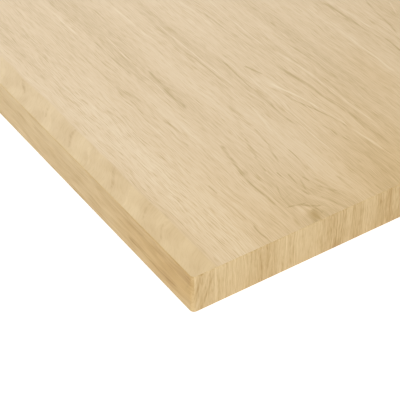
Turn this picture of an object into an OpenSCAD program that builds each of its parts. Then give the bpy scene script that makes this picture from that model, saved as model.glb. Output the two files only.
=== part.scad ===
// Melamine shelf board, lying flat: a slab of faced chipboard with all four edges banded.
// X runs along the grain, Y from the front edge to the back edge and Z up.
// The origin is at the centre of the underside. All sizes are in millimetres.

/* [Board] */
// Length along the grain, over both end bands
board_length = 800; // [300:10:2400]
// Depth across the grain, over the front and back bands
board_depth = 300; // [150:10:600]
// Thickness of the faced board
board_thickness = 18; // [12:1:38]

/* [Edge bands] */
// Thickness of the bands on the front and back edges
long_band_thickness = 1; // [0.8:0.1:3]
// Thickness of the bands on the two ends
end_band_thickness = 1; // [0.8:0.1:3]
// Radius milled along each band's arrises, on the top and on the underside
arris_radius = 0.5; // [0.3:0.1:0.8]
// Radius of the four upright corners
corner_radius = 2; // [1:0.1:6]

/* [Colours] */
// Printed oak decor of the faces
face_colour = "#dfc59c";
// Printed oak decor of the edge bands
band_colour = "#d3b88c";

/* [Hidden] */
$fn = 96;

half_length = board_length / 2;
half_depth = board_depth / 2;
// The slab inside the bands
panel_half_length = half_length - end_band_thickness;
panel_half_depth = half_depth - long_band_thickness;
// How far a cutting block stands clear of the board
cut_clear = 5;

// Section of a run of board of this width, standing on its underside, with its four
// arrises rounded
module rounded_section(width) {
    translate([-width / 2, arris_radius])
        square([width, board_thickness - 2 * arris_radius]);
    translate([-width / 2 + arris_radius, 0])
        square([width - 2 * arris_radius, board_thickness]);
    for (side = [-1, 1], height = [arris_radius, board_thickness - arris_radius])
        translate([side * (width / 2 - arris_radius), height])
            circle(r = arris_radius);
}

// One upright corner: half the section of a round post, turned about its axis
module corner_post() {
    rotate_extrude()
        intersection() {
            rounded_section(2 * corner_radius);
            square([corner_radius, board_thickness]);
        }
}

// The whole outside of the finished board, which the slab and the bands share
module board_form() {
    corner_x = half_length - corner_radius;
    corner_y = half_depth - corner_radius;
    rotate([90, 0, 90])
        linear_extrude(2 * corner_x, center = true)
            rounded_section(board_depth);
    rotate([90, 0, 0])
        linear_extrude(2 * corner_y, center = true)
            rounded_section(board_length);
    for (x = [-corner_x, corner_x], y = [-corner_y, corner_y])
        translate([x, y, 0])
            corner_post();
}

// The stretch of the board between two planes across X and two planes across Y
module stretch_of_board(x_from, x_to, y_from, y_to) {
    intersection() {
        board_form();
        translate([x_from, y_from, -cut_clear])
            cube([x_to - x_from, y_to - y_from, board_thickness + 2 * cut_clear]);
    }
}

// The slab: chipboard with the decor paper pressed on both faces, up to the bands
module panel() {
    color(face_colour)
        stretch_of_board(-panel_half_length, panel_half_length,
                         -panel_half_depth, panel_half_depth);
}

// The long bands go on last, so they cover the ends of the end bands
module front_edge_band() {
    color(band_colour)
        stretch_of_board(-half_length - cut_clear, half_length + cut_clear,
                         -half_depth - cut_clear, -panel_half_depth);
}

module back_edge_band() {
    color(band_colour)
        stretch_of_board(-half_length - cut_clear, half_length + cut_clear,
                         panel_half_depth, half_depth + cut_clear);
}

// The end bands run between the long bands
module left_end_band() {
    color(band_colour)
        stretch_of_board(-half_length - cut_clear, -panel_half_length,
                         -panel_half_depth, panel_half_depth);
}

module right_end_band() {
    color(band_colour)
        stretch_of_board(panel_half_length, half_length + cut_clear,
                         -panel_half_depth, panel_half_depth);
}

panel();
front_edge_band();
back_edge_band();
left_end_band();
right_end_band();
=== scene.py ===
from math import cos, radians, sin

import bpy
from bpy.props import FloatProperty, FloatVectorProperty, IntProperty, PointerProperty
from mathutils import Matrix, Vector


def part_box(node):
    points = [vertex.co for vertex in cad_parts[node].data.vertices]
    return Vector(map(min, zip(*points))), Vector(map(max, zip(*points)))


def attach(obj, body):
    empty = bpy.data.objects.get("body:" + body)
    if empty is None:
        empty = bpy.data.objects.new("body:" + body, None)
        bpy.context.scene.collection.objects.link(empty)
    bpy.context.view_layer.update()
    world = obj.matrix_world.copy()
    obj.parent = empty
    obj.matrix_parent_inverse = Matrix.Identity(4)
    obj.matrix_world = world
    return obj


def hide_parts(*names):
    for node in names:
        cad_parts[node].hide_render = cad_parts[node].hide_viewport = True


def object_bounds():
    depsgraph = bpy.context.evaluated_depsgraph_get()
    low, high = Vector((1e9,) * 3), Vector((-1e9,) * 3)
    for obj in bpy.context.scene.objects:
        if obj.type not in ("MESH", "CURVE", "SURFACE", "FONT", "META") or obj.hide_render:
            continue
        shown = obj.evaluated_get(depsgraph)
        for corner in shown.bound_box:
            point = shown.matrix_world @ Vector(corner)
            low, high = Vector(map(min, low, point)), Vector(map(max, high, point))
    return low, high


bl_info = {
    "name": "Melamine Shelf Board",
    "version": (1, 0, 0),
    "blender": (4, 5, 0),
    "location": "View3D > Sidebar > Shelf Board",
    "description": "Banded shelf board in printed oak decor, laid flat in a plain studio",
    "category": "Add Mesh",
}

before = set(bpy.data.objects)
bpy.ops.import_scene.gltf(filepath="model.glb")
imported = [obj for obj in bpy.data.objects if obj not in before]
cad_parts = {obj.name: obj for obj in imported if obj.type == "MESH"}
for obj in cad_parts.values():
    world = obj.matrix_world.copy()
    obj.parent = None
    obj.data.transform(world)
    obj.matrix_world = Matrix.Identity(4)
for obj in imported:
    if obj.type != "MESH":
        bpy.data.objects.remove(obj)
CAD_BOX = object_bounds()
BOARD_LOW, BOARD_HIGH = (Vector(corner) for corner in CAD_BOX)
THICKNESS = BOARD_HIGH.z - BOARD_LOW.z
MM = 0.001
# Two places nearer than this, in metres, are one place
SAME_PLACE = 1e-5
# Edges that turn by less than this are shaded round
ROUND_ANGLE = radians(40)
# A face whose normal stands more upright than this lies flat
FLAT = 0.97
# Side of the floor in metres and width of the camera's sensor in millimetres
FLOOR_SIDE = 14.0
SENSOR_WIDTH = 36.0
# How the softboxes hang: direction from the board's right front corner, distance and side in
# metres. The key stands before the corner and the other one behind the board.
KEY_BOX = (Vector((1.12, -0.90, 1.10)), 1.2, 1.6)
SHEEN_BOX = (Vector((-0.88, 0.30, 0.44)), 2.0, 1.4)


def linear(hex_colour):
    """Turns an sRGB hex colour into a linear RGBA one."""
    channels = [int(hex_colour[i:i + 2], 16) / 255 for i in (1, 3, 5)]
    lit = [c / 12.92 if c <= 0.04045 else ((c + 0.055) / 1.055) ** 2.4 for c in channels]
    return (*lit, 1.0)


WHITE = linear("#ffffff")


def colour_property(name, description, hex_colour):
    return FloatVectorProperty(name=name, description=description, subtype="COLOR", size=4,
                               min=0, max=1, default=linear(hex_colour))


def length_property(name, description, millimetres):
    return FloatProperty(name=name, description=description, subtype="DISTANCE",
                         unit="LENGTH", min=0, default=millimetres * MM, precision=5)


class ShelfBoardSizes(bpy.types.PropertyGroup):
    """Sizes of the milled edges"""
    corner_radius: length_property("Corner radius", "Radius of the upright corners", 2.0)
    arris_radius: length_property("Arris radius", "Radius milled on the bands' arrises", 0.5)
    corner_steps: IntProperty(name="Corner steps", description="Faces round each corner",
                              default=10, min=2)
    arris_steps: IntProperty(name="Arris steps", description="Faces round each arris",
                             default=6, min=2)


class ShelfBoardPrint(bpy.types.PropertyGroup):
    """Sizes of the printed oak figure"""
    pore_length: length_property("Pore length", "A pore as printed, along the grain", 8.0)
    # A real pore is about 0.2 mm wide. It is drawn wider, so that it shows in the picture
    pore_width: length_property("Pore width", "The same, across the grain", 0.34)
    line_length: length_property("Line length", "A growth line, along the grain", 38.0)
    line_width: length_property("Line width", "The same, across the grain", 1.6)
    band_length: length_property("Band length", "A broad pale or dark band of wood", 160.0)
    band_width: length_property("Band width", "The same, across the grain", 11.0)
    stave_width: length_property("Stave width", "Oblique stave along the front edge", 11.0)
    ring_width: length_property("Ring width", "One year's growth in the arched figure", 8.0)


class ShelfBoardColours(bpy.types.PropertyGroup):
    """Inks of the decor print, the plastic of the bands and the core"""
    pale_wood: colour_property("Pale wood", "Lightest ink of the oak print", "#e6d2b0")
    mid_wood: colour_property("Mid wood", "Ground ink of the oak print", "#d8be95")
    dark_wood: colour_property("Dark wood", "Ink of the late wood and the pores", "#b59a63")
    pale_edge: colour_property("Pale edge", "Lightest ink of the band's print", "#e0c799")
    mid_edge: colour_property("Mid edge", "Ground ink of the band's print", "#cfb382")
    dark_edge: colour_property("Dark edge", "Darkest ink of the band's print", "#b08d52")
    glaze: colour_property("Glaze", "Golden glaze over the print", "#f6e9c5")
    plastic: colour_property("Plastic", "Body of the edge band", "#c4a775")
    pale_chip: colour_property("Pale chip", "Lightest chips of the core", "#d9c39a")
    dark_chip: colour_property("Dark chip", "Darkest chips of the core", "#8f7346")


class ShelfBoardStudio(bpy.types.PropertyGroup):
    """Camera and light"""
    lens: FloatProperty(name="Lens", description="Focal length", unit="CAMERA", default=135.0)
    azimuth: FloatProperty(name="Azimuth", description="Camera's turn from the front edge",
                           subtype="ANGLE", default=radians(56.12))
    elevation: FloatProperty(name="Elevation", description="Camera's height angle",
                             subtype="ANGLE", default=radians(39.47))
    distance: length_property("Distance", "Camera to the point it looks at", 595.4)
    room_light: FloatProperty(name="Room light", description="White room's light", min=0,
                              default=0.53)
    key_power: FloatProperty(name="Key power", description="Softbox before the board",
                             unit="POWER", min=0, default=13.1)
    sheen_power: FloatProperty(name="Sheen power", description="Softbox behind the board",
                               unit="POWER", min=0, default=10.2)
    page_lift: FloatProperty(name="Page lift", description="Glow of the floor to the camera",
                             min=0, default=0.5)
    floor_paint: colour_property("Floor paint", "Matt white of the floor", "#efefef")
    aim_from_end: length_property("Aim from end", "Point looked at, from the right end", 36.9)
    aim_from_front: length_property("Aim from front", "The same, from the front edge", 28.2)


def add_node(tree, kind, inputs=None, **settings):
    """Adds a shader node, sets its properties and fills its inputs with values or links."""
    node = tree.nodes.new("ShaderNode" + kind)
    for name, value in settings.items():
        setattr(node, name, value)
    for socket, value in (inputs or {}).items():
        if isinstance(value, bpy.types.NodeSocket):
            tree.links.new(value, node.inputs[socket])
        else:
            node.inputs[socket].default_value = value
    return node


def deselect_all():
    bpy.ops.object.select_all(action="DESELECT")


def select_edges(piece, wanted):
    """Selects only the edges whose two ends pass the test."""
    mesh = piece.data
    for parts in (mesh.vertices, mesh.edges, mesh.polygons):
        parts.foreach_set("select", [False] * len(parts))
    for edge in mesh.edges:
        a, b = (mesh.vertices[i].co for i in edge.vertices)
        edge.select = wanted(a, b)


def bevel_selected(width, steps):
    bpy.ops.object.mode_set(mode="EDIT")
    bpy.ops.mesh.bevel(offset=width, segments=steps, profile=0.5, affect="EDGES")
    bpy.ops.object.mode_set(mode="OBJECT")


def near(a, b):
    return abs(a - b) < SAME_PLACE


def board_form(name, sizes):
    """Adds a solid with the finished board's whole outside."""
    deselect_all()
    centre = (BOARD_LOW + BOARD_HIGH) / 2
    bpy.ops.mesh.primitive_cube_add(size=1, location=centre, scale=BOARD_HIGH - BOARD_LOW)
    bpy.ops.object.transform_apply(location=True, rotation=True, scale=True)
    piece = bpy.context.object
    piece.name = name
    bpy.context.tool_settings.mesh_select_mode = (False, True, False)
    select_edges(piece, lambda a, b: not near(a.z, b.z))
    bevel_selected(sizes.corner_radius, sizes.corner_steps)
    select_edges(piece, lambda a, b: near(a.z, b.z))
    bevel_selected(sizes.arris_radius, sizes.arris_steps)
    return piece


def keep_stretch(piece, node):
    """Cuts the board form down to the space of one CAD node and closes the cuts."""
    low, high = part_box(node)
    for axis in range(2):
        for place, board_edge, side in ((low[axis], BOARD_LOW[axis], -1),
                                        (high[axis], BOARD_HIGH[axis], 1)):
            if near(place, board_edge):
                continue
            point, outward = Vector(), Vector()
            point[axis] = place
            outward[axis] = side
            bpy.ops.object.mode_set(mode="EDIT")
            bpy.ops.mesh.select_all(action="SELECT")
            # The threshold is small enough to leave the short edges of the rounds alone
            bpy.ops.mesh.bisect(plane_co=point, plane_no=outward, use_fill=True,
                                clear_outer=True, threshold=1e-7)
            bpy.ops.object.mode_set(mode="OBJECT")


def finish_piece(piece, node):
    """Smooths the rounds, keeps the flats flat, parents the piece to the root body and hides its
    CAD node.
    """
    bpy.ops.object.shade_smooth_by_angle(angle=ROUND_ANGLE)
    bpy.ops.object.modifier_add(type="WEIGHTED_NORMAL")
    piece.modifiers[-1].keep_sharp = True
    bpy.ops.object.modifier_apply(modifier=piece.modifiers[-1].name)
    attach(piece, "root")
    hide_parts(node)


def cut_piece(name, node, sizes):
    """Makes one piece of the board."""
    piece = board_form(name, sizes)
    keep_stretch(piece, node)
    return piece


def dress_faces(piece, materials, choose):
    """Gives the piece its materials and each face the one that its normal chooses."""
    for material in materials:
        piece.data.materials.append(material)
    for face in piece.data.polygons:
        face.material_index = choose(face)


# Growth lines of the face's print near the board's right front corner, placed one by one from
# the photo. Each is read as start along and across the grain, end along and across, bow, half
# width (millimetres from that corner) and tone, where a minus is darker than the ground.
FACE_LINES = (
    (-1, 10.6, 11, 10.6, 0, 0.35, -0.7),
    (5, 13.7, 42, 13.8, 0, 0.35, -0.5),
    (44, 13.6, 66, 13.9, 0, 0.4, -0.6),
    (66, 13.8, 86, 13.9, 0, 0.35, -0.4),
    (5, 20.6, 33, 20.6, 0, 0.35, -0.5),
    (40, 20.5, 46, 20.6, 0, 0.4, -0.7),
    (80, 21.5, 90, 21.6, 0, 0.35, -0.6),
    (17, 34.6, 42, 34.5, 0, 0.5, -0.6),
    (51, 34.4, 70, 34.3, 0, 0.5, -0.55),
    (15, 36.2, 36, 36.2, 0, 0.4, -0.4),
    (36, 36.4, 43, 36.4, 0, 0.5, -0.8),
    (72, 36, 87, 36, 0, 0.35, -0.5),
    (2, 37.6, 13, 36.6, -0.6, 0.7, -0.7),
    (20, 39.9, 42, 39.7, 0, 0.35, -0.5),
    (68, 43.6, 82, 43.5, 0, 0.5, -0.7),
    (28, 47, 66, 47.6, 0, 0.6, -0.5),
    (61, 47.5, 69, 47.5, 0, 0.4, -0.6),
    (75, 46, 120, 42, 1, 1.8, -0.45),
    (5, 50.6, 38, 51.4, 0, 1.4, -0.4),
    (24, 50.9, 46, 52, -0.2, 0.6, -0.8),
    (39, 51.5, 63, 55.6, -0.3, 1.5, -0.9),
    (125, 52, 160, 51, 0, 0.6, -0.8),
    (188, 51, 204, 52, 0, 0.5, -0.6),
    (90, 58, 126, 60, -1, 1.2, -0.8),
    (60, 66, 100, 80, 1.5, 2.6, -0.35),
    (100, 82, 126, 82, 0, 0.4, -0.6),
    (50, 89, 118, 91, 0, 0.8, -0.8),
    (40, 108, 74, 98, 0.8, 0.6, -1.0),
    (62, 101, 85, 97, 0, 0.6, -0.9),
    (30, 103, 52, 98, 0, 0.4, -0.7),
    (94, 100, 104, 97, 0, 0.7, -0.8),
    (20, 114, 100, 108, 2, 1.6, -0.7),
    (110, 109, 152, 106, 0, 0.6, -0.7),
    (85, 125, 116, 123.5, 0, 0.4, -0.7),
    (85, 161, 128, 158, 0.5, 1.0, -0.9),
    (70, 162, 87, 163, 0, 0.7, -0.9),
    (85, 170, 120, 177, 0, 0.8, -0.8),
    (8, 39.2, 30, 37.8, 0, 1.4, 0.5),
    (75, 38.5, 122, 38, 0, 0.6, 0.5),
    (60, 46.6, 68, 46.6, 0, 0.45, 0.7),
    (18, 48.6, 34, 48.5, 0, 0.4, 0.4),
    (62, 49, 86, 49.5, 0, 0.5, 0.4),
    (98, 56.5, 165, 58, -0.8, 0.4, 0.8),
    (165, 47.5, 206, 48.5, 0, 0.6, 0.7),
    (125, 74, 182, 74, 0, 0.7, 0.8),
    (55, 78, 80, 82, 0, 0.5, 0.5),
    (85, 84, 160, 83, 0, 0.4, 0.7),
    (20, 91, 105, 95, -0.8, 0.4, 0.9),
    (26, 93, 100, 96.5, -0.8, 0.3, 0.7),
    (12, 110, 93, 97, 3, 0.7, 1.0),
    (30, 117.5, 110, 115, 1.8, 1.2, 0.7),
    (110, 113.5, 162, 114, 0, 0.8, 0.7),
    (138, 104, 168, 102, 0, 1.5, 0.5),
    (60, 150, 106, 150, 0, 0.9, 0.8),
    (110, 149, 127, 149, 0, 0.5, 0.6),
    (95, 164, 127, 161, 0, 0.7, 0.7),
    (98, 180, 110, 185, 0, 0.6, 0.7),
)
# The grain that parts round the small knot at the right end.
KNOT_LINES = (
    (11.8, 61.8, 14.2, 53.6, 0.3, 2.4, -0.75),
    (7, 66.2, 13.2, 58.4, -0.5, 1.7, -0.85),
    (3.2, 63.5, 8.2, 63.3, 0.2, 0.6, -0.7),
    (-1, 64.6, 5.2, 64.2, 0, 0.5, -0.5),
    (-0.5, 57.6, 8, 62.6, 0.3, 2.6, -0.5),
    (7.2, 61.2, 12, 59.8, 0, 0.9, 0.6),
    (18.6, 56, 20.4, 61, 0, 1.2, -0.25),
    (22, 71.8, 26.4, 71, 0, 0.45, -0.7),
    (29, 64.2, 34.4, 64.4, 0, 0.45, -0.6),
    (13, 55.4, 19.5, 56.2, 0, 0.5, -0.6),
    (18, 56, 29, 59.2, -0.3, 0.5, -0.5),
    (-1, 73.5, 12.8, 69.1, 0.6, 0.8, -0.6),
    (15, 66.5, 22.5, 64, 0, 0.7, -0.7),
    (21, 64, 35, 64.2, 0, 0.5, -0.8),
    (18.5, 67, 25.5, 69.1, 0, 0.6, -0.6),
    (23, 66, 31, 67.1, 0, 0.45, -0.9),
    (11, 76.5, 18.6, 72.3, 0.4, 0.9, -0.55),
    (27, 75.4, 45, 76.9, 0.2, 0.5, -0.9),
    (36.5, 60.8, 48, 62.8, 0, 0.7, -0.7),
    (46, 62.5, 61, 67, 0.3, 1.2, -0.45),
    (38, 67.8, 52, 72, 0, 0.8, -0.6),
    (50, 71.8, 64, 73.4, 0, 0.7, -0.5),
    (8, 82.6, 20, 82.8, 0, 0.8, -0.4),
)
# Soft pale and dark places of the face: centre along and across, reach along and across, tone.
# Most are the print's own. One broad dark place and one broad pale place are painted shade and
# painted sheen, which even out the lamps' gradient across the top.
FACE_PLACES_AND_PAINTED_LIGHT = (
    (-10, 90, 60, 80, -0.08),
    (4.5, 60.6, 6, 4.5, -0.3),
    (60, 77, 95, 24, 0.32),
    (10, 103, 75, 11, -0.4),
    (115, 33, 60, 12, 0.3),
    (92, 51, 28, 6, 0.2),
    (118, 123, 55, 9, 0.25),
    (10, 42, 35, 20, -0.12),
    (45, 136, 40, 8, -0.15),
    (4, 34, 13, 4.5, -0.25),
    (160, 74, 44, 30, -0.14),
    # Broad dark place at the back right: painted shade, darker where the lamps light the top too
    # much
    (108, 116, 66, 46, -0.2),
    (40.5, 52.6, 5, 2.2, -0.35),
    (9.4, 57.6, 5, 3.4, 0.55),
    (87, 99, 10, 2.4, 0.5),
    (40, 23, 150, 17, 0.36),
    # Broad pale place far from the right end: painted sheen, lighter where the lamps' reflection
    # falls short
    (160, 30, 50, 26, 0.15),
    (75, 140, 34, 11, -0.2),
)
# Places of the face under a golden glaze, read alike, with a share in place of the tone.
GOLDEN_PLACES = (
    (-10, 90, 60, 80, 0.42),
    (25, 115, 80, 42, 0.28),
    (4.5, 60.6, 6, 4.5, 0.3),
    (15, 30, 80, 50, 0.2),
    (66, 142, 45, 16, 0.2),
)
# Oblique growth lines of the stave along the front edge, in the same seven readings.
STAVE_LINES = (
    (24, 0, 34, 10, 0.5, 1.6, -0.8),
    (39, 4, 47, 10.5, 0.5, 1.2, -0.7),
    (50, 0, 60, 11, 0.6, 1.2, 0.5),
    (62, 0, 75, 11, 0.8, 1.8, -0.8),
    (80, 0, 92, 10, 0.8, 1.2, 0.6),
    (95, 1, 106, 11, 0.6, 1.6, -0.9),
    (119, 3, 128, 11, 0.5, 1.5, -1.0),
    (139, 3, 151, 12, 0.5, 1.5, -1.0),
)
# Lines of the long band's print, along the board and down from its top face. The last, broad and
# pale, is painted sheen over the band's far part.
LONG_BAND_LINES_AND_SHEEN = (
    (9, 12.8, 48, 12.1, 0, 2.0, -1.4),
    (40, 12.2, 62, 11.6, 0, 1.0, -0.5),
    (-6, 12.8, 20, 12.8, 0, 1.0, -0.5),
    (16, 15.6, 150, 15.2, 0, 2.2, 0.5),
    (7, 1.6, 21, 1.7, 0.2, 0.6, -0.7),
    (24, 1.4, 42, 2.6, 0, 0.6, -0.6),
    (34, 3, 39, 6, 0, 1.0, -0.4),
    (19, 5.5, 25, 5.3, 0, 0.8, 0.6),
    (2.5, 4.4, 5, 8, 0.4, 1.6, -0.6),
    (-6, 4, 18, 4.4, 0, 3.6, -0.45),
    (77, 7.5, 90, 9.8, 0, 1.4, -0.5),
    (92, 10.2, 104, 10.2, 0, 1.6, -0.4),
    (66, 9, 72, 4.5, 0, 1.6, 0.5),
    (78, 5.2, 112, 5.6, 0, 2.4, 0.35),
    (118, 9.6, 140, 10.2, 0, 1.8, -0.4),
    (-2, 0.6, 4, 1.4, 0, 1.4, -0.6),
    # Broad pale zone over the whole height of the band's far part: painted sheen, not print
    (105, 8, 320, 8, 0, 16, 0.65),
)
# Streaks of the end band's print, down from its top face and across from the front edge.
END_BAND_LINES = (
    (23, -1, -3, 8, 0, 1.1, 1.3),
    (25, 2, 1, 10, 0, 1.0, -1.4),
    (19, -2, -4, 5.5, 0, 0.9, -1.4),
    (10, -2, -3, 3, 0, 0.8, 1.0),
    (-8, 9, 26, 9, 0, 15, 0.25),
    (-6, 7.3, 22, 7.6, 0.3, 0.5, -0.8),
    (-6, 10.7, 24, 10.6, 0.2, 0.5, 1.0),
    (-6, 11.7, 24, 11.5, 0.2, 0.4, -0.9),
    (-6, 15.3, 22, 15.5, 0, 0.4, -0.9),
    (-6, 16.5, 24, 16.4, 0.2, 0.5, 0.9),
    (-4, 19.5, 24, 19.7, 0, 0.4, 0.8),
    (-6, 24, 24, 24.2, 0.3, 0.5, 0.8),
    (-6, 28, 24, 28.1, -0.3, 0.5, 0.8),
    (-6, 31.8, 24, 31.7, 0.2, 0.6, -1.1),
    (-6, 34.7, 20, 34.5, 0, 0.5, -0.8),
    (-6, 38.5, 24, 38.7, 0.2, 0.5, -0.8),
    (-6, 41.3, 24, 41.1, 0, 0.4, 0.8),
    (-8, 43.5, 26, 43.6, 0.2, 0.6, 1.2),
    (-8, 46.4, 18, 46.6, 0, 2.4, -0.75),
    (-6, 49.5, 24, 49.6, 0.2, 0.5, 0.8),
    (-6, 56, 24, 56.5, 0.3, 0.6, 0.6),
    (-6, 61, 24, 61.6, 0, 0.6, -0.6),
    (-6, 68, 24, 68.3, 0.3, 0.6, -0.9),
    (-6, 72.8, 24, 72.6, 0, 0.5, -0.9),
    (-8, 75, 26, 75.1, 0.2, 0.6, 1.2),
    (-8, 79.6, 26, 79.4, 0, 2.6, -0.4),
    (-8, 67, 26, 67.4, 0, 11, -1.15),
    (-6, 83.3, 24, 83.2, 0.2, 0.9, 0.9),
    (-6, 89.3, 24, 89.1, 0, 0.9, -0.9),
    (-6, 92.2, 24, 94, 0, 0.7, 1.1),
    (-6, 95.7, 24, 96.4, 0, 1.3, -0.9),
)
# Ticks of the prints, the pale glints between them and the bands' fine streaks, length and
# width in millimetres. Real ones are about half as wide. They are drawn wider, so that they
# show in the picture.
FACE_TICKS = (6.5, 0.34)
FACE_GLINTS = (10.0, 0.34)
BAND_TICK_WIDTH = 0.4
BAND_FINE = (14.0, 0.45)
# Ground tone of the face, before its layers, and the golden share that it has all over
FACE_GROUND = -0.4
FACE_GOLDEN = 0.12
# The pale field where the pores crowd: centre and reach
PALE_FIELD = ((60, 23), (170, 17))
# Where the grain comes back to its course behind the knot, centre and reach, and how far it is
# carried there
KNOT_WAKE = ((0, 72), (26, 18))
KNOT_PUSH = 8.0
# Turn of the front stave's grain
STAVE_TURN = radians(-42)
# How each band's print differs: its lines and ground tone, its wander (length, width and reach),
# its soft clouds (length, width and weight), its darker and more golden zone, which is partly
# painted shade (centre, reach, strength there and share elsewhere), how open its grain is, the
# weight of its fine streaks and the length of its ticks.
LONG_BAND_LOOK = {
    "lines": LONG_BAND_LINES_AND_SHEEN,
    "ground": -0.7,
    "wave": (22.0, 8.0, 0.6),
    "clouds": (13.0, 3.0, 0.42),
    # Darker and more golden near the corner: painted shade in place of the sheen that lightens
    # the band's far part, with a golden hue
    "golden": ((0, 8), (90, 16), 0.82, 0.1),
    "open_grain": 0.4,
    "fine": 0.25,
    "ticks": 6.0,
}
END_BAND_LOOK = {
    "lines": END_BAND_LINES,
    "ground": -0.605,
    "wave": (12.0, 5.0, 0.35),
    "clouds": (20.0, 3.0, 0.06),
    # Darker and a little more golden far from the corner: partly painted shade, where the light
    # falls off
    "golden": ((9, 110), (60, 60), 0.1, 0.0),
    "open_grain": 0.6,
    "fine": 0.42,
    "ticks": 3.0,
}

# Where the tree's heart ran, from the front edge and below the face, in millimetres, and how
# much the trunk tapers. They place the arched figure.
HEART_ACROSS = 185.0
HEART_DEEP = 22.0
TREE_TAPER = 0.07
# The arched figure comes in past these distances from the right end and from the front edge
ARCHES_FROM_END = 230.0
ARCHES_FROM_FRONT = 200.0


def growth_line_group():
    """One growth line: full along its middle, fading towards its ends and its sides."""
    group = bpy.data.node_groups.new("growth_line", "ShaderNodeTree")
    for name in ("Along", "Across", "Start Along", "Start Across", "End Along", "End Across",
                 "Bow", "Half Width"):
        group.interface.new_socket(name, in_out="INPUT", socket_type="NodeSocketFloat")
    group.interface.new_socket("Line", in_out="OUTPUT", socket_type="NodeSocketFloat")
    given = group.nodes.new("NodeGroupInput").outputs
    way = add_node(group, "MapRange", {"Value": given["Along"],
                                       "From Min": given["Start Along"],
                                       "From Max": given["End Along"]})
    rest = add_node(group, "Math", {0: 1.0, 1: way.outputs[0]}, operation="SUBTRACT")
    arch = add_node(group, "Math", {0: way.outputs[0], 1: rest.outputs[0]},
                    operation="MULTIPLY")
    chord = add_node(group, "Mix", {0: way.outputs[0], 2: given["Start Across"],
                                    3: given["End Across"]}, data_type="FLOAT")
    course = add_node(group, "Math", {0: arch.outputs[0], 1: given["Bow"],
                                      2: chord.outputs[0]}, operation="MULTIPLY_ADD")
    aside = add_node(group, "Math", {0: given["Across"], 1: course.outputs[0]},
                     operation="SUBTRACT")
    off = add_node(group, "Math", {0: aside.outputs[0]}, operation="ABSOLUTE")
    body = add_node(group, "MapRange", {"Value": off.outputs[0],
                                        "From Max": given["Half Width"],
                                        "To Min": 1.0, "To Max": 0.0},
                    interpolation_type="SMOOTHSTEP")
    ends = add_node(group, "MapRange", {"Value": arch.outputs[0], "From Max": 0.12},
                    interpolation_type="SMOOTHSTEP")
    line = add_node(group, "Math", {0: body.outputs[0], 1: ends.outputs[0]},
                    operation="MULTIPLY")
    result = group.nodes.new("NodeGroupOutput")
    group.links.new(line.outputs[0], result.inputs["Line"])
    return group


def add_up(tree, ground, layers):
    """Adds layers, each a pattern and its weight, to a ground tone."""
    for pattern, weight in layers:
        ground = add_node(tree, "Math", {0: pattern, 1: weight, 2: ground},
                          operation="MULTIPLY_ADD").outputs[0]
    return ground


def drawn_lines(tree, place, lines):
    """Tone of listed growth lines."""
    parts = add_node(tree, "SeparateXYZ", {0: place})
    group = bpy.data.node_groups.get("growth_line") or growth_line_group()
    layers = []
    for along, across, end_along, end_across, bow, half_width, tone in lines:
        # The group's arch is a quarter high in its middle
        line = add_node(tree, "Group", {"Along": parts.outputs[0], "Across": parts.outputs[1],
                                        "Start Along": along, "Start Across": across,
                                        "End Along": end_along, "End Across": end_across,
                                        "Bow": 4 * bow, "Half Width": half_width},
                        node_tree=group)
        layers.append((line.outputs[0], tone))
    whole = add_up(tree, 0.0, layers)
    breaks = streaks(tree, place, 7.0, 0.8, 0.36, 0.62, shift=29.0)
    broken = add_node(tree, "Math", {0: breaks, 1: 0.7, 2: 0.45}, operation="MULTIPLY_ADD")
    return add_node(tree, "Math", {0: whole, 1: broken.outputs[0]},
                    operation="MULTIPLY").outputs[0]


def streaks(tree, place, length, width, least, most, shift=0.0):
    """Soft streaks of noise, so long and so wide in millimetres, from 0 to 1. The shift sets
    the layers apart, so that no two fall on the same places of the noise."""
    stretched = add_node(tree, "Mapping", {"Vector": place, "Location": (shift, shift, shift),
                                           "Scale": (1 / length, 1 / width, 1 / width)})
    noise = add_node(tree, "TexNoise", {"Vector": stretched.outputs[0], "Scale": 1.0,
                                        "Detail": 0.0})
    return add_node(tree, "MapRange", {"Value": noise.outputs[0], "From Min": least,
                                       "From Max": most},
                    interpolation_type="SMOOTHSTEP").outputs[0]


def wander(tree, place, length, width, reach):
    """Carries the grain aside by a slow noise, as it wanders in a tree."""
    slow = streaks(tree, place, length, width, 0.25, 0.75, shift=40.0)
    aside = add_node(tree, "Math", {0: slow, 1: 2 * reach, 2: -reach},
                     operation="MULTIPLY_ADD")
    step = add_node(tree, "CombineXYZ", {1: aside.outputs[0]})
    return add_node(tree, "VectorMath", {0: place, 1: step.outputs[0]},
                    operation="ADD").outputs[0]


def round_knot(tree, place):
    """Carries the grain aside behind the knot, where it comes back to its course."""
    behind = spot(tree, place, *KNOT_WAKE)
    aside = add_node(tree, "Math", {0: behind, 1: -KNOT_PUSH}, operation="MULTIPLY")
    step = add_node(tree, "CombineXYZ", {1: aside.outputs[0]})
    return add_node(tree, "VectorMath", {0: place, 1: step.outputs[0]},
                    operation="ADD").outputs[0]


def spot(tree, place, centre, reach):
    """A round spot, full at its centre."""
    scale = (1 / reach[0], 1 / reach[1], 0)
    centred = add_node(tree, "Mapping", {"Vector": place, "Scale": scale,
                                         "Location": (-centre[0] / reach[0],
                                                      -centre[1] / reach[1], 0)})
    away = add_node(tree, "VectorMath", {0: centred.outputs[0]}, operation="LENGTH")
    return add_node(tree, "MapRange", {"Value": away.outputs["Value"], "To Min": 1.0,
                                       "To Max": 0.0},
                    interpolation_type="SMOOTHSTEP").outputs[0]


def spots(tree, place, places):
    """Layers of round spots: a pattern and its weight for each place."""
    return [(spot(tree, place, (along, across), (length, width)), weight)
            for along, across, length, width, weight in places]


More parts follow.
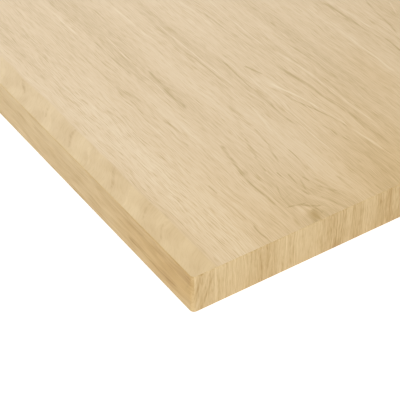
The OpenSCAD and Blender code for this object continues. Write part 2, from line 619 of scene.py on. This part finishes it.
def step_at(tree, place, axis, middle, softness):
    """0 below a place along one axis, 1 beyond it."""
    parts = add_node(tree, "SeparateXYZ", {0: place})
    return add_node(tree, "MapRange", {"Value": parts.outputs[axis],
                                       "From Min": middle - softness,
                                       "From Max": middle + softness},
                    interpolation_type="SMOOTHSTEP").outputs[0]


def place_on_board(tree, location, scale, turn=(0, 0, 0)):
    """Object coordinates in millimetres: along the grain, across it and through it."""
    coordinates = add_node(tree, "TexCoord")
    return add_node(tree, "Mapping", {"Vector": coordinates.outputs["Object"],
                                      "Location": location, "Rotation": turn,
                                      "Scale": [side / MM for side in scale]}).outputs[0]


def inks(tree, tone, golden, dark, mid, pale, glaze):
    """Prints a tone from -1 to 1 with three inks, under a golden share of the glaze."""
    spread = add_node(tree, "MapRange", {"Value": tone, "From Min": -1.0, "From Max": 1.0})
    ramp = add_node(tree, "ValToRGB", {0: spread.outputs[0]})
    ramp.color_ramp.elements[0].color = dark
    ramp.color_ramp.elements[1].color = pale
    ramp.color_ramp.elements.new(0.5).color = mid
    share = add_node(tree, "Mix", {0: golden, 6: WHITE, 7: glaze}, data_type="RGBA")
    return add_node(tree, "Mix", {0: 1.0, 6: ramp.outputs[0], 7: share.outputs[2]},
                    data_type="RGBA", blend_type="MULTIPLY").outputs[2]


def new_tree(name):
    material = bpy.data.materials.new(name)
    material.use_nodes = True
    material.node_tree.nodes.clear()
    return material, material.node_tree


def oak_tone(tree, place, print_sizes, ground, open_grain):
    """Pale and dark bands, growth lines and pores of plain sawn oak over a ground tone. The
    pores and their pale flecks show more in open grain. Returns the tone and the pores."""
    p = print_sizes
    length, width = p.pore_length / MM, p.pore_width / MM
    bands = streaks(tree, place, p.band_length / MM, p.band_width / MM, 0.3, 0.7)
    lines = streaks(tree, place, p.line_length / MM, p.line_width / MM, 0.3, 0.7, shift=11.0)
    hairs = streaks(tree, place, 1.5 * p.line_length / MM, 0.4 * p.line_width / MM, 0.3, 0.7,
                    shift=17.0)
    pores = streaks(tree, place, length, width, 0.55, 0.72, shift=23.0)
    flecks = streaks(tree, place, length, 1.2 * width, 0.55, 0.72, shift=37.0)
    rows = streaks(tree, place, 6 * length, 9 * width, 0.3, 0.7, shift=51.0)
    grouped = add_node(tree, "Math", {0: pores, 1: rows}, operation="MULTIPLY")
    tone = add_up(tree, ground, ((bands, 0.36), (lines, 0.16), (hairs, 0.16)))
    marked = add_up(tree, tone, ((grouped.outputs[0], -0.42 * open_grain),
                                 (flecks, 0.24 * open_grain)))
    return marked, grouped.outputs[0]


def decor_sheet(name, colours, print_sizes, location, scale):
    """Melamine decor sheet: oak printed on paper under clear resin, pressed against a satin
    plate. To the eye a pale, even wood with a soft broad sheen and no open pores."""
    material, tree = new_tree(name)
    # What is drawn from the lists lies on the figure's place, and the common grain wanders
    # further
    sheet = place_on_board(tree, location, scale)
    figure = wander(tree, sheet, 16.0, 8.0, 0.35)
    place = wander(tree, round_knot(tree, figure), 120.0, 40.0, 1.0)
    tone, pores = oak_tone(tree, place, print_sizes, FACE_GROUND, 1.0)
    drawn = drawn_lines(tree, figure, FACE_LINES + KNOT_LINES)
    pale_field = spot(tree, figure, *PALE_FIELD)
    ticks = streaks(tree, figure, *FACE_TICKS, 0.54, 0.66, shift=83.0)
    glints = streaks(tree, figure, *FACE_GLINTS, 0.55, 0.66, shift=91.0)
    crowd = add_up(tree, 0.4, ((pale_field, 0.6),))
    field_ticks = add_node(tree, "Math", {0: ticks, 1: crowd}, operation="MULTIPLY")
    field_glints = add_node(tree, "Math", {0: glints, 1: crowd}, operation="MULTIPLY")
    arches = year_rings(tree, place, print_sizes)
    wood = add_up(tree, tone, ((drawn, 0.85), (arches, 1.0), (field_ticks.outputs[0], -0.72),
                               (field_glints.outputs[0], 0.5),
                               *spots(tree, figure, FACE_PLACES_AND_PAINTED_LIGHT)))
    golden = add_up(tree, FACE_GOLDEN, spots(tree, figure, GOLDEN_PLACES))
    face = inks(tree, wood, golden, colours.dark_wood, colours.mid_wood, colours.pale_wood,
                colours.glaze)
    stave = inks(tree, front_stave(tree, figure), golden, colours.dark_edge,
                 colours.mid_edge, colours.pale_edge, colours.glaze)
    beyond = step_at(tree, figure, 1, print_sizes.stave_width / MM, 0.8)
    colour = add_node(tree, "Mix", {0: beyond, 6: stave, 7: face}, data_type="RGBA").outputs[2]
    dents = add_node(tree, "Bump", {"Height": pores, "Strength": 0.3, "Distance": 0.02 * MM},
                     invert=True)
    gloss = add_node(tree, "MapRange", {"Value": pores, "To Min": 0.38, "To Max": 0.5})
    shader = add_node(tree, "BsdfPrincipled", {"Base Color": colour,
                                               "Roughness": gloss.outputs[0], "IOR": 1.55,
                                               "Normal": dents.outputs[0]})
    add_node(tree, "OutputMaterial", {"Surface": shader.outputs[0]})
    return material


def year_rings(tree, place, print_sizes):
    """Arched figure of flat sawn oak: the saw cut slim cones of growth, so that their rings
    show as nested arches. It stays away from the corner that has its own lines."""
    ring = print_sizes.ring_width / MM
    bent = wander(tree, place, 170.0, 60.0, 7.0)
    from_heart = add_node(tree, "Mapping", {"Vector": bent, "Scale": (0, 1, 0),
                                            "Location": (0, -HEART_ACROSS, HEART_DEEP)})
    radius = add_node(tree, "VectorMath", {0: from_heart.outputs[0]}, operation="LENGTH")
    parts = add_node(tree, "SeparateXYZ", {0: bent})
    grown = add_node(tree, "Math", {0: parts.outputs[0], 1: TREE_TAPER,
                                    2: radius.outputs["Value"]}, operation="MULTIPLY_ADD")
    years = add_node(tree, "Math", {0: grown.outputs[0], 1: ring}, operation="DIVIDE")
    saw = add_node(tree, "Math", {0: years.outputs[0]}, operation="FRACT")
    late = add_node(tree, "MapRange", {"Value": saw.outputs[0], "From Min": 0.5,
                                       "From Max": 0.95}, interpolation_type="SMOOTHSTEP")
    early = add_node(tree, "MapRange", {"Value": saw.outputs[0], "From Min": 0.0,
                                        "From Max": 0.12, "To Min": 1.0, "To Max": 0.0},
                     interpolation_type="SMOOTHSTEP")
    faint = streaks(tree, place, 120.0, 25.0, 0.3, 0.6, shift=63.0)
    rings = add_up(tree, 0.0, ((late.outputs[0], -0.45), (early.outputs[0], -0.2)))
    mottled = add_node(tree, "Math", {0: rings, 1: faint}, operation="MULTIPLY")
    far = step_at(tree, place, 0, ARCHES_FROM_END, 40.0)
    deep = step_at(tree, place, 1, ARCHES_FROM_FRONT, 30.0)
    away = add_node(tree, "Math", {0: far, 1: deep}, operation="MAXIMUM")
    return add_node(tree, "Math", {0: mottled.outputs[0], 1: away.outputs[0]},
                    operation="MULTIPLY").outputs[0]


def front_stave(tree, place):
    """Tone of the narrow stave along the front edge, whose grain runs obliquely."""
    curved = wander(tree, place, 18.0, 9.0, 1.3)
    oblique = add_node(tree, "Mapping", {"Vector": curved, "Rotation": (0, 0, STAVE_TURN)})
    ribbons = streaks(tree, oblique.outputs[0], 24.0, 5.5, 0.3, 0.7, shift=5.0)
    fine = streaks(tree, oblique.outputs[0], 9.0, 1.6, 0.3, 0.7, shift=9.0)
    patches = streaks(tree, place, 11.0, 6.0, 0.3, 0.7, shift=61.0)
    ticks = streaks(tree, oblique.outputs[0], 4.0, 0.5, 0.5, 0.66, shift=13.0)
    drawn = drawn_lines(tree, curved, STAVE_LINES)
    return add_up(tree, 0.01, ((ribbons, 0.4), (fine, 0.1), (patches, 0.28), (ticks, -0.2),
                               (drawn, 0.55)))


def printed_band(name, colours, print_sizes, location, scale, turn, look):
    """Edge band: ABS, printed with oak and lacquered matt. To the eye a little browner and
    duller than the faces, with crisper streaks."""
    material, tree = new_tree(name)
    centre, reach, strength, elsewhere = look["golden"]
    cloud_length, cloud_width, cloud_weight = look["clouds"]
    strip = place_on_board(tree, location, scale, turn)
    place = wander(tree, strip, *look["wave"])
    tone, pores = oak_tone(tree, place, print_sizes, look["ground"], look["open_grain"])
    drawn = drawn_lines(tree, place, look["lines"])
    # A darker, more golden zone of the print: partly painted shade, near the corner on the long
    # band and far from it on the end band
    golden = spot(tree, place, centre, reach)
    # The golden share of this partly painted-shade zone stops where the rounded corner begins
    inward = step_at(tree, strip, 0, 1.2, 0.9)
    golden_shade_share = add_node(tree, "Math", {0: golden, 1: inward}, operation="MULTIPLY")
    share = add_up(tree, elsewhere, ((golden_shade_share.outputs[0], strength),))
    clouds = streaks(tree, place, cloud_length, cloud_width, 0.3, 0.7, shift=71.0)
    ticks = streaks(tree, place, look["ticks"], BAND_TICK_WIDTH, 0.55, 0.68, shift=83.0)
    glints = streaks(tree, place, look["ticks"], BAND_TICK_WIDTH, 0.55, 0.68, shift=91.0)
    fine = streaks(tree, place, *BAND_FINE, 0.32, 0.68, shift=33.0)
    whole = add_up(tree, tone, ((drawn, 0.45), (golden, -0.1), (clouds, cloud_weight),
                                (fine, look["fine"]), (ticks, -0.5 * look["open_grain"]),
                                (glints, 0.4 * look["open_grain"])))
    colour = inks(tree, whole, share, colours.dark_edge, colours.mid_edge,
                  colours.pale_edge, colours.glaze)
    dents = add_node(tree, "Bump", {"Height": pores, "Strength": 0.4, "Distance": 0.03 * MM},
                     invert=True)
    gloss = add_node(tree, "MapRange", {"Value": pores, "To Min": 0.5, "To Max": 0.6})
    shader = add_node(tree, "BsdfPrincipled", {"Base Color": colour,
                                               "Roughness": gloss.outputs[0], "IOR": 1.5,
                                               "Normal": dents.outputs[0]})
    add_node(tree, "OutputMaterial", {"Surface": shader.outputs[0]})
    return material


def plain_abs(colours):
    """ABS as it leaves the extruder, roughened for the glue. To the eye a dull brown with
    faint drawn out streaks. Only the hidden sides of the bands show it."""
    material, tree = new_tree("plain_abs")
    place = place_on_board(tree, (0, 0, 0), (1, 1, 1))
    drawn_out = streaks(tree, place, 20.0, 1.0, 0.3, 0.7)
    body = add_node(tree, "Mix", {0: drawn_out, 6: colours.plastic, 7: colours.mid_edge},
                    data_type="RGBA")
    gloss = add_node(tree, "MapRange", {"Value": drawn_out, "To Min": 0.6, "To Max": 0.7})
    shader = add_node(tree, "BsdfPrincipled", {"Base Color": body.outputs[2],
                                               "Roughness": gloss.outputs[0], "IOR": 1.53})
    add_node(tree, "OutputMaterial", {"Surface": shader.outputs[0]})
    return material


def sawn_chipboard(colours):
    """Chipboard, sawn. To the eye flat chips of many browns, 4 mm long and under 1 mm thick.
    Only the hidden sides of the slab show it, under the bands."""
    material, tree = new_tree("sawn_chipboard")
    place = place_on_board(tree, (0, 0, 0), (1, 1, 1))
    flat = add_node(tree, "Mapping", {"Vector": place, "Scale": (0.25, 0.25, 1.2)})
    chips = add_node(tree, "TexVoronoi", {"Vector": flat.outputs[0], "Scale": 1.0})
    shade = add_node(tree, "SeparateColor", {0: chips.outputs["Color"]})
    colour = add_node(tree, "Mix", {0: shade.outputs[0], 6: colours.dark_chip,
                                    7: colours.pale_chip}, data_type="RGBA")
    dents = add_node(tree, "Bump", {"Height": shade.outputs[0], "Strength": 0.5,
                                    "Distance": 0.2 * MM})
    shader = add_node(tree, "BsdfPrincipled", {"Base Color": colour.outputs[2],
                                               "Roughness": 0.85, "IOR": 1.5,
                                               "Normal": dents.outputs[0]})
    add_node(tree, "OutputMaterial", {"Surface": shader.outputs[0]})
    return material


def seen_directly(tree):
    """1 where a camera, glossy or transmission ray arrives, 0 where light only bounces."""
    path = add_node(tree, "LightPath")
    either = add_node(tree, "Math", {0: path.outputs["Is Camera Ray"],
                                     1: path.outputs["Is Glossy Ray"]}, operation="MAXIMUM")
    return add_node(tree, "Math", {0: either.outputs[0],
                                   1: path.outputs["Is Transmission Ray"]},
                    operation="MAXIMUM").outputs[0]


def painted_floor(studio):
    """Matt white paint, to the eye a white page with the board's soft shadow on it. Its own
    glow, for direct rays only, lifts it to white."""
    material, tree = new_tree("matt_white_floor_paint")
    paint = add_node(tree, "BsdfDiffuse", {"Color": studio.floor_paint, "Roughness": 0})
    lift = add_node(tree, "Math", {0: seen_directly(tree), 1: studio.page_lift},
                    operation="MULTIPLY")
    glow = add_node(tree, "Emission", {"Strength": lift.outputs[0]})
    both = add_node(tree, "AddShader", {0: paint.outputs[0], 1: glow.outputs[0]})
    add_node(tree, "OutputMaterial", {"Surface": both.outputs[0]})
    return material


def white_room(studio):
    """A white room all round: plain white to look at, softer as a lamp."""
    world = bpy.data.worlds.new("white_room")
    world.use_nodes = True
    tree = world.node_tree
    tree.nodes.clear()
    strength = add_node(tree, "Mix", {0: seen_directly(tree), 2: studio.room_light, 3: 1.0},
                        data_type="FLOAT")
    background = add_node(tree, "Background", {"Color": WHITE,
                                               "Strength": strength.outputs[0]})
    add_node(tree, "OutputWorld", {"Surface": background.outputs[0]})
    return world


def softbox(name, aim, direction, distance, size, power):
    """Adds a square softbox that faces the aim from a direction."""
    away = direction.normalized()
    bpy.ops.object.light_add(type="AREA", location=aim + away * distance)
    lamp = bpy.context.object
    lamp.name = name
    lamp.rotation_euler = away.to_track_quat("Z", "Y").to_euler()
    lamp.data.size = size
    lamp.data.energy = power
    return lamp


def face_sheets(scene):
    """The decor of the top and of the underside, made once."""
    right, front = BOARD_HIGH.x / MM, -BOARD_LOW.y / MM
    sheets = []
    # The lower sheet is pressed on turned round, so its figure starts at another corner
    for name, scale in (("melamine_oak_top", (-1, 1, 1)), ("melamine_oak_underside", (1, -1, 1))):
        made = bpy.data.materials.get(name)
        sheets.append(made or decor_sheet(name, scene.shelf_board_colours,
                                          scene.shelf_board_print, (right, front, 0), scale))
    return sheets


class SHELFBOARD_OT_panel(bpy.types.Operator):
    """Adds the faced slab"""
    bl_idname = "shelfboard.panel"
    bl_label = "Faced Slab"

    def execute(self, context):
        scene = context.scene
        piece = cut_piece("faced_slab", "panel", scene.shelf_board_sizes)

        def surface(face):
            if abs(face.normal.z) > FLAT:
                return 0 if face.normal.z > 0 else 1
            return 2

        dress_faces(piece, (*face_sheets(scene), sawn_chipboard(scene.shelf_board_colours)),
                    surface)
        finish_piece(piece, "panel")
        return {"FINISHED"}


class SHELFBOARD_OT_bands(bpy.types.Operator):
    """Adds the four edge bands"""
    bl_idname = "shelfboard.bands"
    bl_label = "Edge Bands"

    def execute(self, context):
        scene = context.scene
        colours, print_sizes = scene.shelf_board_colours, scene.shelf_board_print
        right, front = BOARD_HIGH.x / MM, -BOARD_LOW.y / MM
        deep = THICKNESS / MM
        quarter = radians(90)
        long_print = printed_band("printed_abs_long_band", colours, print_sizes,
                                  (right, deep, 0), (-1, 1, 1), (quarter, 0, 0),
                                  LONG_BAND_LOOK)
        end_print = printed_band("printed_abs_end_band", colours, print_sizes,
                                 (deep, front, 0), (1, 1, -1), (0, quarter, 0),
                                 END_BAND_LOOK)
        glued = plain_abs(colours)
        for node, decor, outward in (
                ("front_edge_band", long_print, Vector((0, -1, 0))),
                ("back_edge_band", long_print, Vector((0, 1, 0))),
                ("left_end_band", end_print, Vector((-1, 0, 0))),
                ("right_end_band", end_print, Vector((1, 0, 0)))):
            piece = cut_piece(node.replace("_band", "_strip"), node, scene.shelf_board_sizes)

            def surface(face):
                # The photo shows the faces' decor right up to the arrises
                if abs(face.normal.z) > FLAT:
                    return 2 if face.normal.z > 0 else 3
                return 1 if face.normal.dot(outward) < 0.05 else 0

            dress_faces(piece, (decor, glued, *face_sheets(scene)), surface)
            finish_piece(piece, node)
        return {"FINISHED"}


class SHELFBOARD_OT_studio(bpy.types.Operator):
    """Adds the floor, the lamps, the world and the camera"""
    bl_idname = "shelfboard.studio"
    bl_label = "Studio"

    def execute(self, context):
        scene = context.scene
        studio = scene.shelf_board_studio
        deselect_all()
        bpy.ops.mesh.primitive_plane_add(size=FLOOR_SIDE, location=(0, 0, BOARD_LOW.z))
        floor = context.object
        floor.name = "studio_floor"
        floor.data.materials.append(painted_floor(studio))
        scene.world = white_room(studio)
        corner = Vector((BOARD_HIGH.x, BOARD_LOW.y, BOARD_HIGH.z))
        key = softbox("key_softbox", corner, *KEY_BOX, studio.key_power)
        # Its mirror image would burn out the satin top as seen from the back
        key.visible_glossy = False
        softbox("sheen_softbox", corner, *SHEEN_BOX, studio.sheen_power)
        turn, lift = studio.azimuth, studio.elevation
        aim = corner + Vector((-studio.aim_from_end, studio.aim_from_front, 0))
        away = Vector((sin(turn) * cos(lift), -cos(turn) * cos(lift), sin(lift)))
        bpy.ops.object.camera_add(location=aim + away * studio.distance)
        camera = context.object
        camera.name = "photo_camera"
        camera.rotation_euler = away.to_track_quat("Z", "Y").to_euler()
        camera.data.lens = studio.lens
        camera.data.sensor_width = SENSOR_WIDTH
        scene.camera = camera
        scene.view_settings.view_transform = "Standard"
        return {"FINISHED"}


class SHELFBOARD_PT_sidebar(bpy.types.Panel):
    """Lists the pieces of the board"""
    bl_idname = "SHELFBOARD_PT_sidebar"
    bl_label = "Shelf Board"
    bl_space_type = "VIEW_3D"
    bl_region_type = "UI"
    bl_category = "Shelf Board"

    def draw(self, context):
        layout = self.layout
        for operator in OPERATORS:
            layout.operator(operator.bl_idname)


GROUPS = (ShelfBoardSizes, ShelfBoardPrint, ShelfBoardColours, ShelfBoardStudio)
OPERATORS = (SHELFBOARD_OT_panel, SHELFBOARD_OT_bands, SHELFBOARD_OT_studio)
CLASSES = (*GROUPS, *OPERATORS, SHELFBOARD_PT_sidebar)


def register():
    for cls in CLASSES:
        bpy.utils.register_class(cls)
    bpy.types.Scene.shelf_board_sizes = PointerProperty(type=ShelfBoardSizes)
    bpy.types.Scene.shelf_board_print = PointerProperty(type=ShelfBoardPrint)
    bpy.types.Scene.shelf_board_colours = PointerProperty(type=ShelfBoardColours)
    bpy.types.Scene.shelf_board_studio = PointerProperty(type=ShelfBoardStudio)


def unregister():
    del bpy.types.Scene.shelf_board_studio
    del bpy.types.Scene.shelf_board_colours
    del bpy.types.Scene.shelf_board_print
    del bpy.types.Scene.shelf_board_sizes
    for cls in reversed(CLASSES):
        bpy.utils.unregister_class(cls)


def main():
    register()
    bpy.ops.shelfboard.studio()
    bpy.ops.shelfboard.panel()
    bpy.ops.shelfboard.bands()


if __name__ == "__main__":
    main()
